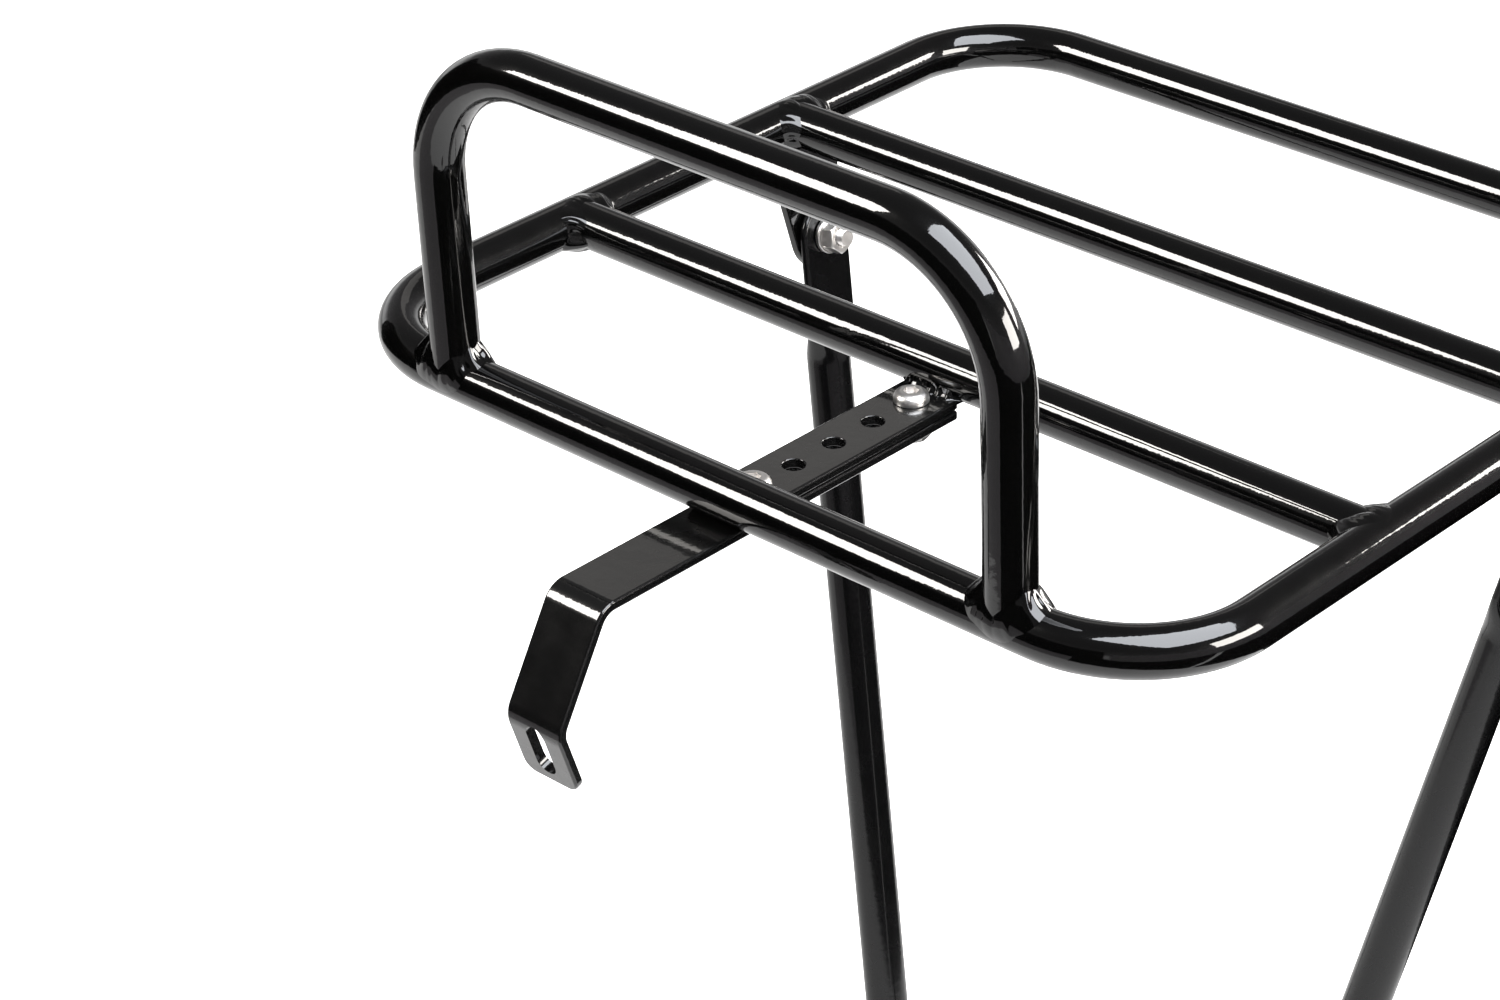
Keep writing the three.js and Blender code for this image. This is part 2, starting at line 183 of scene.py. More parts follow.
# %% Measure the platform
loop_low, loop_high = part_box("rail_loop")
TUBE_R = (loop_high.z - loop_low.z) / 2
RAIL_Z = (loop_high.z + loop_low.z) / 2
REAR_Y = loop_low.y + TUBE_R
FRONT_Y = loop_high.y - TUBE_R
SIDE_X = loop_high.x - TUBE_R
LOOP_BEND = 39 * MM
HOOP_BEND = 39.5 * MM
HOOP_LEAN = math.radians(2.1)
ORIGIN = Vector((0, REAR_Y, RAIL_Z))


def middle(node, axis):
    """The middle of a solid's box along an axis."""
    low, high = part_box(node)
    return (low[axis] + high[axis]) / 2


CROSS_Y = {name: middle(name, 1) for name in ("rear_cross_tube", "front_cross_tube")}
HOOP_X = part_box("rear_hoop")[1].x - TUBE_R
print(f"tube {2 * TUBE_R / MM:.1f} mm across")
print(f"platform {2 * SIDE_X / MM:.1f} x {(FRONT_Y - REAR_Y) / MM:.1f} mm between axes")

# %% [markdown]
# ## Sweeping a tube
#
# A tube could be a bevelled curve, but then its bends are whatever the curve makes of them. A
# tube bender does only two things, feed and bend, and bmesh has an operator for each. Extruding
# a ring of edges and moving it is the feed, and spinning the ring about the die's centre is the
# bend. The same two moves make a bent flat strap, from a ring with four corners.

# %% Feed and bend a ring of edges
def parts_of(geometry, kind):
    """The vertices or edges among what an operator returns."""
    return [item for item in geometry if isinstance(item, kind)]


def feed(bm, ring, step):
    """Extrude a ring of edges along a vector, and return the new ring."""
    made = bmesh.ops.extrude_edge_only(bm, edges=ring)["geom"]
    points = parts_of(made, bmesh.types.BMVert)
    bmesh.ops.translate(bm, verts=points, vec=step)
    fresh = set(points)
    return [e for e in parts_of(made, bmesh.types.BMEdge) if fresh.issuperset(e.verts)]


def bend(bm, ring, centre, axis, angle, steps):
    """Spin a ring of edges about a bend's centre, and return the new ring."""
    points = list({v for e in ring for v in e.verts})
    made = bmesh.ops.spin(bm, geom=points + ring, cent=centre, axis=axis, angle=angle, steps=steps)
    return parts_of(made["geom_last"], bmesh.types.BMEdge)


def run_route(bm, ring, start, ahead, normal, moves, steps):
    """Take a ring through (length,) feeds and (angle, radius) bends about the normal."""
    place, ahead = start.copy(), ahead.copy()
    for move in moves:
        if len(move) == 1:
            ring = feed(bm, ring, ahead * move[0])
            place += ahead * move[0]
            continue
        angle, radius = move
        centre = place + normal.cross(ahead) * math.copysign(radius, angle)
        ring = bend(bm, ring, centre, normal, angle, steps)
        turn = Matrix.Rotation(angle, 3, normal)
        place = centre + turn @ (place - centre)
        ahead = turn @ ahead
    return ring


# %% Turn a bmesh into a piece of the rack
def sharp_edges(bm, angle=40):
    """The edges whose faces meet at more than an angle."""
    limit = math.radians(angle)
    return [e for e in bm.edges if len(e.link_faces) == 2 and e.calc_face_angle() > limit]


def settle(bm, name, material, smooth=True):
    """Merge, close and turn a bmesh outwards, and make it an object with a material."""
    bmesh.ops.remove_doubles(bm, verts=bm.verts, dist=1e-6)
    bmesh.ops.holes_fill(bm, edges=bm.edges)
    bmesh.ops.recalc_face_normals(bm, faces=bm.faces)
    for edge in sharp_edges(bm):
        edge.smooth = False
    mesh = bpy.data.meshes.new(name)
    bm.to_mesh(mesh)
    bm.free()
    for polygon in mesh.polygons:
        polygon.use_smooth = smooth
    mesh.materials.append(material)
    piece = bpy.data.objects.new(name, mesh)
    bpy.context.scene.collection.objects.link(piece)
    return piece


def stands_for(piece, slot, body, *nodes):
    """Say which body a piece rides on, and hide the solids that it replaces. The slot is not used.
    """
    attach(piece, body)
    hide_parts(*nodes)
    print(f"{piece.name}: {len(piece.data.polygons)} faces on {body}")
    return piece


SIDES = 64
BEND_STEPS = 20


def round_ring(bm, place, ahead):
    """A ring of edges the size of the tube, square to its heading."""
    turned = ahead.to_track_quat("Z", "Y").to_matrix().to_4x4()
    bmesh.ops.create_circle(
        bm, cap_ends=False, radius=TUBE_R, segments=SIDES, matrix=Matrix.Translation(place) @ turned
    )
    return list(bm.edges)


# %% The platform's outer tube
def rail_loop():
    """Four straights and four bends that close on themselves."""
    bm = bmesh.new()
    start = Vector((0, FRONT_Y, RAIL_Z))
    ring = round_ring(bm, start, -X)
    corner = (math.pi / 2, LOOP_BEND)
    half_width = (SIDE_X - LOOP_BEND,)
    side = (FRONT_Y - REAR_Y - 2 * LOOP_BEND,)
    moves = [half_width, corner, side, corner, half_width]
    run_route(bm, ring, start, -X, Z, moves + moves, BEND_STEPS)
    return settle(bm, "rail_loop_tube", GLOSS)


stands_for(rail_loop(), "gloss_black", "rack", "rail_loop")


# %% The cross tubes
def cross_tube(node):
    """A straight tube whose ends stop inside the side rails."""
    bm = bmesh.new()
    start = Vector((-SIDE_X, CROSS_Y[node], RAIL_Z))
    run_route(bm, round_ring(bm, start, X), start, X, Z, [(2 * SIDE_X,)], 1)
    return settle(bm, node + "_tube", GLOSS)


for node in CROSS_Y:
    stands_for(cross_tube(node), "gloss_black", "rack", node)


# %% The rear hoop
def rear_hoop():
    """An upright bend, leaned back a little about the rear rail it stands on."""
    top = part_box("rear_hoop")[1].z - RAIL_Z - TUBE_R
    rise = top / math.cos(HOOP_LEAN) - HOOP_BEND
    bm = bmesh.new()
    start = ORIGIN - X * HOOP_X
    corner = (math.pi / 2, HOOP_BEND)
    across = (2 * (HOOP_X - HOOP_BEND),)
    moves = [(rise,), corner, across, corner, (rise,)]
    run_route(bm, round_ring(bm, start, Z), start, Z, Y, moves, BEND_STEPS)
    lean = Matrix.Rotation(HOOP_LEAN, 3, "X")
    bmesh.ops.rotate(bm, verts=bm.verts, cent=ORIGIN, matrix=lean)
    return settle(bm, "rear_hoop_tube", GLOSS)


stands_for(rear_hoop(), "gloss_black", "rack", "rear_hoop")

# %% [markdown]
# ## Weld beads
#
# Every joint is brazed or welded, and the paint only softens the bead. A Boolean union would
# leave a knife-sharp valley where a real joint has a fat, rippled fillet. So each bead is its
# own strip of mesh. It starts as a grid: along it runs the joint, and across it runs the bead's
# back. Each vertex is then placed on a curve from one surface's toe, over the valley, to the
# other surface's toe. Ripples come from the torch's steps, and a slow noise makes the bead as
# uneven as a hand makes it.

# %% Lay a bead along a joint
BEAD_RIPPLE = 2.5 * MM
BEAD_ACROSS = 16
BEAD_ALONG_PER_MM = 3.2
BEAD_WRAP = 1.12
BEAD_ROOT = 1.6 * MM
BEAD_SINK = 0.12 * MM
RIPPLE_HEIGHT = 0.40 * MM
LUMP_HEIGHT = 0.9 * MM
WIDTH_WANDER = 0.42
PHASE_WANDER = 0.9


def bead_point(corner, toes, out, across, ripple, lump, fullness):
    """A point on the bead's back, or under it where across runs past one."""
    if abs(across) > 0.999:
        return corner - out * BEAD_ROOT
    u = (across + 1) / 2
    crown = corner + out * (fullness + lump)
    place = toes[0] * (1 - u) ** 2 + crown * 2 * u * (1 - u) + toes[1] * u ** 2
    return place + out * (ripple * math.sin(math.pi * u) - BEAD_SINK)


def lay_bead(bm, joint, length, closed, width, seed):
    """Lay one bead. joint(t, size) gives its corner, toes, outward way, fullness and relief."""
    along = int(length / MM * BEAD_ALONG_PER_MM)
    ripples = round(length / BEAD_RIPPLE)
    grid = bmesh.ops.create_grid(bm, x_segments=along, y_segments=BEAD_ACROSS, size=1.0)["verts"]
    for vert in grid:
        t = (vert.co.x + 1) / 2
        across = vert.co.y * BEAD_WRAP
        turn = 2 * math.pi * t
        wobble = noise.noise(Vector((math.cos(turn), math.sin(turn), seed)) * 2.3)
        taper = 1.0 if closed else min(1.0, 5 * t + 0.1, 5 * (1 - t) + 0.1)
        size = width * taper * (1 + WIDTH_WANDER * wobble)
        corner, toes, out, fullness, proud = joint(t, size)
        phase = t * ripples + 0.5 * vert.co.y ** 2 + PHASE_WANDER * wobble
        ripple = RIPPLE_HEIGHT * taper * proud * (abs(math.sin(math.pi * phase)) - 0.5)
        lump = LUMP_HEIGHT * wobble * taper * proud
        vert.co = bead_point(corner, toes, out, across, ripple, lump, fullness)


# %% The bead round a tube that stands on another
def saddle(base, branch, run):
    """A joint all round a branch tube, where it meets a run tube of the same size."""
    side = run.cross(branch)

    def joint(t, size):
        turn = 2 * math.pi * t
        flat = run * math.cos(turn) + side * math.sin(turn)
        rise = abs(math.cos(turn))
        corner = base + flat * TUBE_R + branch * TUBE_R * rise
        on_branch = corner + branch * size
        roll = math.copysign(math.asin(min(1, abs(math.sin(turn)))), math.sin(turn))
        roll_out = size / TUBE_R * abs(math.sin(turn))
        rolled = roll + math.copysign(roll_out, math.sin(turn))
        on_run = base + run * (math.cos(turn) * TUBE_R + math.copysign(size * rise, math.cos(turn)))
        on_run += side * math.sin(rolled) * TUBE_R + branch * math.cos(rolled) * TUBE_R
        out = (flat + (side * math.sin(roll) + branch * math.cos(roll))).normalized()
        fullness = size * (0.38 + 0.20 * rise)
        return corner, (on_branch, on_run), out, fullness, 0.12 + 0.88 * rise ** 2

    return joint


def ring_bead(name, joints, width):
    """One mesh with a closed bead at each joint."""
    bm = bmesh.new()
    for seed, joint in enumerate(joints):
        lay_bead(bm, joint, 2.2 * math.pi * TUBE_R, True, width, 3.1 * seed + 0.7)
    return settle(bm, name, GLOSS)


lean_up = Vector((0, -math.sin(HOOP_LEAN), math.cos(HOOP_LEAN)))
hoop_joints = [saddle(ORIGIN + X * s * HOOP_X, lean_up, X) for s in (-1, 1)]
hoop_beads = ring_bead("hoop_foot_welds", hoop_joints, 5.2 * MM)
cross_joints = [
    saddle(Vector((s * SIDE_X, y, RAIL_Z)), X * -s, Y) for y in CROSS_Y.values() for s in (-1, 1)
]
cross_beads = ring_bead("cross_tube_welds", cross_joints, 4.4 * MM)
for beads in (hoop_beads, cross_beads):
    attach(beads, "rack")
    print(f"{beads.name}: {len(beads.data.polygons)} faces")

# %% [markdown]
# ## The plate and the crown bracket
#
# Both are flat bar, 20 by 3 mm, with rolled edges. The plate is welded under the platform and
# holds the row of adjusting holes. The bracket is the same bar, bent twice. A bent bar is swept
# like a tube, from a ring with four corners. Holes are cut with a Boolean, and a Bevel modifier
# breaks their edges: a coated edge is always a little round, and that is what catches the light.

# %% Cut, round off and shade flat bar
def cylinder(bm, radius, depth, place, axis=Z, sides=48):
    """Add a closed cylinder centred on a place."""
    turned = axis.to_track_quat("Z", "Y").to_matrix().to_4x4()
    bmesh.ops.create_cone(
        bm, cap_ends=True, segments=sides, radius1=radius, radius2=radius, depth=depth,
        matrix=Matrix.Translation(place) @ turned,
    )


def carve(piece, cutter_mesh, operation="DIFFERENCE"):
    """Apply a Boolean with a bmesh as the cutter."""
    cutter = settle(cutter_mesh, "cutter", piece.data.materials[0], False)
    modifier = piece.modifiers.new("carve", "BOOLEAN")
    modifier.object = cutter
    modifier.operation = operation
    modifier.solver = "EXACT"
    graph = bpy.context.evaluated_depsgraph_get()
    carved = bpy.data.meshes.new_from_object(piece.evaluated_get(graph))
    piece.modifiers.clear()
    piece.data = carved
    bpy.data.objects.remove(cutter)
    for polygon in carved.polygons:
        polygon.use_smooth = True
    return piece


def break_edges(piece, width, segments=3, angle=40):
    """Round a piece's sharp edges, and keep its flats flat."""
    bevel = piece.modifiers.new("broken edges", "BEVEL")
    bevel.width = width
    bevel.segments = segments
    bevel.limit_method = "ANGLE"
    bevel.angle_limit = math.radians(angle)
    piece.modifiers.new("flat faces", "WEIGHTED_NORMAL").weight = 100
    return piece


def bevel_edges(bm, edges, width, segments):
    """Round edges in the mesh itself."""
    bmesh.ops.bevel(
        bm, geom=edges, offset=width, segments=segments, profile=0.5, affect="EDGES", material=-1
    )


# %% The welded plate
plate_low, plate_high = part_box("bracket_plate")
STRAP_WIDTH = plate_high.x - plate_low.x
STRAP_THICK = plate_high.z - plate_low.z
HOLE_R = 3.3 * MM
HOLE_PITCH = 16.5 * MM
BOLT_Y = [middle(name, 1) for name in ("rear_bracket_bolt", "front_bracket_bolt")]
HOLE_Y = [BOLT_Y[0] + i * HOLE_PITCH for i in range(5)]
EDGE_R = 0.8 * MM


def hole_cutter(height):
    """The row of adjusting holes, as cylinders."""
    bm = bmesh.new()
    for y in HOLE_Y:
        cylinder(bm, HOLE_R, 20 * MM, Vector((0, y, height)))
    return bm


def bracket_plate():
    """A flat bar with five holes."""
    bm = bmesh.new()
    size = plate_high - plate_low
    centre = (plate_high + plate_low) / 2
    shape = Matrix.Translation(centre) @ Matrix.Diagonal((*size, 1))
    bmesh.ops.create_cube(bm, size=1.0, matrix=shape)
    bevel_edges(bm, sharp_edges(bm), EDGE_R, 4)
    piece = carve(settle(bm, "bracket_plate_bar", BAR), hole_cutter(centre.z))
    return break_edges(piece, 0.35 * MM)


stands_for(bracket_plate(), "gloss_black", "rack", "bracket_plate")

# %% The crown bracket's route
STRAP_BEND = 8 * MM
STRAP_SLANT = math.radians(30)
TONGUE_TILT = math.radians(18.5)
TONGUE_LENGTH = 22 * MM
SLOT_WIDTH = 7 * MM
SLOT_LENGTH = 17.5 * MM
STRAP_DROP = 32 * MM
STRAP_CORNER_Y = REAR_Y - 55 * MM
strap_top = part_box("crown_bracket")[1].z
turn_1 = math.pi / 2 - STRAP_SLANT
turn_2 = STRAP_SLANT + TONGUE_TILT
tongue_down = Vector((0, math.sin(TONGUE_TILT), -math.cos(TONGUE_TILT)))
tongue_out = Vector((0, -math.cos(TONGUE_TILT), -math.sin(TONGUE_TILT)))


def strap_moves():
    """Feeds and bends measured to the middle of the bar's thickness."""
    radius = STRAP_BEND - STRAP_THICK / 2
    back_1 = STRAP_BEND * math.tan(turn_1 / 2)
    back_2 = STRAP_BEND * math.tan(turn_2 / 2)
    level = plate_high.y - STRAP_CORNER_Y - back_1
    slant = STRAP_DROP / math.cos(STRAP_SLANT) - back_1 - back_2
    return [(level,), (turn_1, radius), (slant,), (turn_2, radius), (TONGUE_LENGTH - back_2,)]


# %% Sweep the bar and cut it
def strap_bar():
    """The bent bar with rounded lower corners and rolled edges, before its holes."""
    bm = bmesh.new()
    start = Vector((0, plate_high.y, strap_top - STRAP_THICK / 2))
    upright = Matrix.Rotation(math.pi / 2, 4, "X")
    section = Matrix.Diagonal((STRAP_WIDTH, 1, STRAP_THICK, 1)) @ upright
    square = Matrix.Rotation(math.pi / 4, 4, "Z")
    bmesh.ops.create_circle(
        bm, cap_ends=False, radius=math.sqrt(0.5), segments=4,
        matrix=Matrix.Translation(start) @ section @ square,
    )
    end = run_route(bm, list(bm.edges), start, -Y, X, strap_moves(), 16)
    bmesh.ops.holes_fill(bm, edges=bm.edges)
    bmesh.ops.recalc_face_normals(bm, faces=bm.faces)
    corners = [e for e in end if abs((e.verts[0].co - e.verts[1].co).x) < 1e-6]
    bevel_edges(bm, corners, 4 * MM, 8)
    bevel_edges(bm, sharp_edges(bm), EDGE_R, 4)
    return settle(bm, "crown_bracket_bar", BAR)


def slot_cutter():
    """The tongue's slot, whose middle is the frame's origin: a cylinder pulled out long."""
    bm = bmesh.new()
    reach = (SLOT_LENGTH - SLOT_WIDTH) / 2
    cylinder(bm, SLOT_WIDTH / 2, 12 * MM, tongue_down * reach, tongue_out)
    upper = [v for v in bm.verts if v.co.dot(tongue_down) < reach - 1e-6]
    bmesh.ops.translate(bm, verts=upper, vec=tongue_down * -2 * reach)
    return bm


bracket = carve(strap_bar(), hole_cutter(strap_top))
bracket = break_edges(carve(bracket, slot_cutter()), 0.4 * MM)
stands_for(bracket, "gloss_black", "rack", "crown_bracket")

# %% [markdown]
# ## Welds along straight joints
#
# The plate's ends and the tabs' tops meet a tube along a straight line. The same bead fits
# them: one toe lies on the flat face, and the other is rolled round the tube.

# %% Seam beads
def seam(corner, along, length, away, face, centre):
    """A joint along a line where a flat face meets a tube whose axis passes the centre."""
    radial = corner - centre
    tangent = along.cross(radial).normalized()
    side = math.copysign(1, tangent.dot(face))
    out = (away + tangent * side).normalized()

    def joint(t, size):
        place = corner + along * (t - 0.5) * length
        rolled = Matrix.Rotation(side * size / TUBE_R, 3, along) @ radial
        return place, (place + away * size, place - radial + rolled), out, 0.62 * size, 0.35

    return joint


def seam_beads(name, joints, length, width):
    """One mesh with an open bead at each joint."""
    bm = bmesh.new()
    for seed, joint in enumerate(joints):
        lay_bead(bm, joint, length, False, width, 2.3 * seed + 5.1)
    piece = settle(bm, name, GLOSS)
    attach(piece, "rack")
    print(f"{name}: {len(piece.data.polygons)} faces")
    return piece


def on_tube(axis_y, height, toward):
    """A place on a cross tube's wall at a height over its axis, on the +Y or -Y side."""
    reach = math.sqrt(TUBE_R ** 2 - height ** 2)
    return Vector((0, axis_y + toward * reach, RAIL_Z + height))


def plate_seams():
    """Where the plate's top meets the two tubes that it spans, and its front edge below."""
    level = plate_high.z - RAIL_Z
    front_axis = Vector((0, CROSS_Y["rear_cross_tube"], RAIL_Z))
    length = STRAP_WIDTH + 1.5 * MM
    front = seam(on_tube(front_axis.y, level, -1), X, length, -Y, Z, front_axis)
    rear = seam(on_tube(REAR_Y, level, 1), X, length, Y, Z, ORIGIN)
    low = on_tube(front_axis.y, level - 0.7 * MM, -1)
    below = seam(low, X, length, (-Y - Z * 2).normalized(), -Z, front_axis)
    return [front, rear, below]


seam_beads("plate_welds", plate_seams(), STRAP_WIDTH, 3.4 * MM)

# %% [markdown]
# ## Tabs for the legs
#
# Each tab is a stamped plate: a round eye whose sides run on as tangents to a wide top. The
# outline is what a string pulled round the eye and the top edge would make, so bmesh's convex
# hull gives the exact solid from a short cylinder and a thin box.

# %% The frame of a leg's pivot
LEG_SPLAY = math.radians(11.6)
LEG_SWEEP = math.radians(5.9)
FLAT_THICK = 3 * MM
GAP = 0.3 * MM
TAB_THICK = 3 * MM
TAB_END_R = 11 * MM
TAB_HALF_WIDTH = 15.6 * MM
TAB_HEIGHT = 32.1 * MM
SIDES_NAMED = {"left": -1, "right": 1}
PIVOT = {j["name"].split("_")[0]: Vector(j["pos_m"]) for j in frame["joints"]}


def pivot_frame(place):
    """X is the bolt's axis, and Z runs up the plane that the leg swings in."""
    lean = Matrix.Rotation(SIDES_NAMED[place] * LEG_SPLAY, 4, "Y")
    return Matrix.Translation(PIVOT[place]) @ lean


# %% Cut the tabs
def leg_tab(place):
    """The hull of an eye and a top edge that runs up into the rail."""
    side = SIDES_NAMED[place]
    centre_x = side * (FLAT_THICK / 2 + GAP + TAB_THICK / 2)
    buried = 3 * MM
    bm = bmesh.new()
    cylinder(bm, TAB_END_R, TAB_THICK, Vector((centre_x, 0, 0)), X, 72)
    top = Matrix.Translation((centre_x, 0, TAB_HEIGHT + buried / 2))
    size = Matrix.Diagonal((TAB_THICK, 2 * TAB_HALF_WIDTH, buried, 1))
    bmesh.ops.create_cube(bm, size=1.0, matrix=top @ size)
    bmesh.ops.delete(bm, geom=bm.faces[:] + bm.edges[:], context="EDGES_FACES")
    bmesh.ops.convex_hull(bm, input=bm.verts)
    bmesh.ops.dissolve_limit(bm, angle_limit=math.radians(1), verts=bm.verts, edges=bm.edges)
    bevel_edges(bm, sharp_edges(bm, 60), 0.6 * MM, 3)
    bm.transform(pivot_frame(place))
    piece = settle(bm, place + "_leg_tab_plate", GLOSS)
    hole = bmesh.new()
    cylinder(hole, HOLE_R, 20 * MM, Vector((0, 0, 0)), X)
    hole.transform(pivot_frame(place))
    return break_edges(carve(piece, hole), 0.3 * MM)


for place in SIDES_NAMED:
    stands_for(leg_tab(place), "gloss_black", "rack", place + "_leg_tab")


# %% Weld the tabs to the rails
def tab_seam(place, depth, facing):
    """A bead where one face of a tab meets the side rail."""
    turn = pivot_frame(place)
    side = SIDES_NAMED[place]
    up = turn.to_3x3() @ Z
    start = turn @ Vector((side * depth, 0, 0))
    axis = Vector((side * SIDE_X, start.y, RAIL_Z))
    gap = start - axis
    along_up = gap.dot(up)
    reach = -along_up - math.sqrt(along_up ** 2 - gap.length_squared + TUBE_R ** 2)
    corner = start + up * reach
    return seam(corner, Y, 2 * TAB_HALF_WIDTH + 2 * MM, -up, X * side * facing, axis)


inner_face = FLAT_THICK / 2 + GAP
tab_joints = [
    tab_seam(place, depth, facing)
    for place in SIDES_NAMED
    for depth, facing in ((inner_face, -1), (inner_face + TAB_THICK, 1))
]
seam_beads("tab_welds", tab_joints, 2 * TAB_HALF_WIDTH, 3.2 * MM)

# %% [markdown]
# ## The legs
#
# A leg starts as the same tube. Its ends are squashed flat in a press, rounded and drilled, and
# the foot is bent back upright. A squashed tube isn't a bar glued to a tube: the walls flow from
# round to flat over about the tube's own width. So one column of rings is drawn, and each
# vertex is moved by the same rule: how flat is the section at this distance from the top?

# %% The leg's section
LEG_LENGTH = 395 * MM
FLAT_HALF = 10.5 * MM
TOP_FLAT = 27 * MM
FOOT_FLAT = 60 * MM
FLARE = 16 * MM
LEG_OFFSET = 2.7 * MM
LEG_TOTAL = LEG_LENGTH + FLAT_HALF
FOOT_START = LEG_TOTAL - FOOT_FLAT
FOOT_HOLES = (10 * MM, 25 * MM, 40 * MM)
FOOT_HOLE_R = 2.75 * MM
KINK = 10 * MM


def smooth(t):
    """An even ramp from 0 to 1."""
    t = min(1.0, max(0.0, t))
    return t * t * (3 - 2 * t)


def mix(a, b, t):
    """The value a share t of the way from a to b."""
    return a + (b - a) * t


def flat_depth(width, height):
    """Half the thickness of the flat's rounded end, at a place on it."""
    edge = FLAT_THICK / 2
    past = math.hypot(width, height) - (FLAT_HALF - edge)
    if past <= 0:
        return edge
    return math.sqrt(max(0.0, edge ** 2 - past ** 2))


def leg_point(down, cosine, sine):
    """(depth, width) of a wall point, where down is the distance from the top end."""
    to_round = smooth((down - FLAT_HALF - TOP_FLAT) / FLARE)
    to_flat = smooth((down - FOOT_START + FLARE) / FLARE)
    rounded = to_round * (1 - to_flat)
    height = max(0.0, FLAT_HALF - min(down, LEG_TOTAL - down))
    outline = math.sqrt(max(0.0, FLAT_HALF ** 2 - height ** 2))
    half_width = mix(outline, TUBE_R, rounded)
    half_depth = mix(FLAT_THICK / 2, TUBE_R, rounded)
    edge = min(half_depth, half_width)
    width = math.copysign(half_width - edge, cosine) + edge * cosine
    depth = half_depth * sine
    if height > 0:
        depth = math.copysign(flat_depth(width, height), sine) if abs(sine) > 1e-6 else 0.0
    return depth + LEG_OFFSET * to_round, width


def foot_bend(down):
    """(sideways, down, turn) along the leg, which is bent in one short arc at the foot."""
    past = down - (FOOT_START - KINK / 2)
    if past <= 0:
        return 0.0, down, 0.0
    radius = KINK / LEG_SPLAY
    turn = LEG_SPLAY * min(1.0, past / KINK)
    beyond = max(0.0, past - KINK)
    sideways = radius * (1 - math.cos(turn)) + beyond * math.sin(turn)
    return sideways, down - past + radius * math.sin(turn) + beyond * math.cos(turn), turn


# %% Draw the column and press it into a leg
def leg_stations():
    """Distances from the top end, close together where the section changes."""
    steps = 12
    end = [FLAT_HALF * (1 - math.cos(math.pi / 2 * i / steps)) for i in range(steps + 1)]
    flare = [FLARE * i / steps for i in range(steps + 1)]
    kink = [FOOT_START + KINK * (i / 8 - 0.5) for i in range(9)]
    top = [FLAT_HALF + TOP_FLAT + d for d in flare]
    bottom = [FOOT_START - FLARE + d for d in flare]
    lower = [LEG_TOTAL - d for d in end]
    return sorted(set(round(d, 6) for d in end + top + bottom + kink + lower))


def leg_column(side):
    """A leg in its pivot's frame, before the sweep and the holes."""
    bm = bmesh.new()
    bmesh.ops.create_circle(bm, cap_ends=False, radius=1.0, segments=SIDES)
    stations = leg_stations()
    ring = list(bm.edges)
    for upper, lower in zip(stations, stations[1:]):
        ring = feed(bm, ring, Z * (lower - upper))
    for vert in bm.verts:
        depth, width = leg_point(vert.co.z, vert.co.x, vert.co.y)
        sideways, drop, turn = foot_bend(vert.co.z)
        out = depth * math.cos(turn) + sideways
        vert.co = Vector((side * out, width, FLAT_HALF - drop + depth * math.sin(turn)))
    return bm


def leg_holes(side):
    """The pivot's hole and the three foot holes, as cylinders."""
    bm = bmesh.new()
    cylinder(bm, HOLE_R, 20 * MM, Vector((0, 0, 0)), X)
    for up in FOOT_HOLES:
        sideways, drop, turn = foot_bend(LEG_TOTAL - up)
        place = Vector((side * (LEG_OFFSET + sideways), 0, FLAT_HALF - drop))
        cylinder(bm, FOOT_HOLE_R, 20 * MM, place, Matrix.Rotation(-side * turn, 3, "Y") @ X)
    return bm


def leg(place):
    """Sweep the leg back, put it at its pivot and drill it."""
    side = SIDES_NAMED[place]
    turn = pivot_frame(place) @ Matrix.Rotation(-LEG_SWEEP, 4, "X")
    column = leg_column(side)
    holes = leg_holes(side)
    for bm in (column, holes):
        bm.transform(turn)
    piece = carve(settle(column, place + "_leg_strut", SOFT), holes)
    return break_edges(piece, 0.35 * MM)


for place in SIDES_NAMED:
    stands_for(leg(place), "strut_black", place + "_leg", place + "_leg")

# %% [markdown]
# ## The fasteners
#
# Stainless button-head screws, washers and hexagon nuts. Anything turned on a lathe is a profile
# spun round an axis. A thread is nearly that: the same zigzag profile is spun through one whole
# turn while it climbs by one pitch, so that each tooth lands on the next one and the thread runs
# as a true helix.

# %% Lathe, thread and socket
BOLT_R = 2.9 * MM
PITCH = 1.0 * MM
HEAD_R = 5.25 * MM
HEAD_HEIGHT = 3.3 * MM
SOCKET_FLATS = 4 * MM
SOCKET_DEPTH = 2 * MM
NUT_FLATS = 10 * MM
NUT_HEIGHT = 5 * MM
WASHER_R = 6 * MM
WASHER_THICK = 1.6 * MM
TURN_STEPS = 48


def profile_line(bm, points):
    """Join (radius, height) points with edges, and return what can be spun."""
    verts = [bm.verts.new((radius, 0, height)) for radius, height in points]
    edges = [bm.edges.new(pair) for pair in zip(verts, verts[1:])]
    return verts + edges


def lathe(points):
    """A turned solid from its profile."""
    bm = bmesh.new()
    bmesh.ops.spin(
        bm, geom=profile_line(bm, points), cent=(0, 0, 0), axis=(0, 0, 1),
        angle=2 * math.pi, steps=TURN_STEPS, use_merge=True,
    )
    return bm


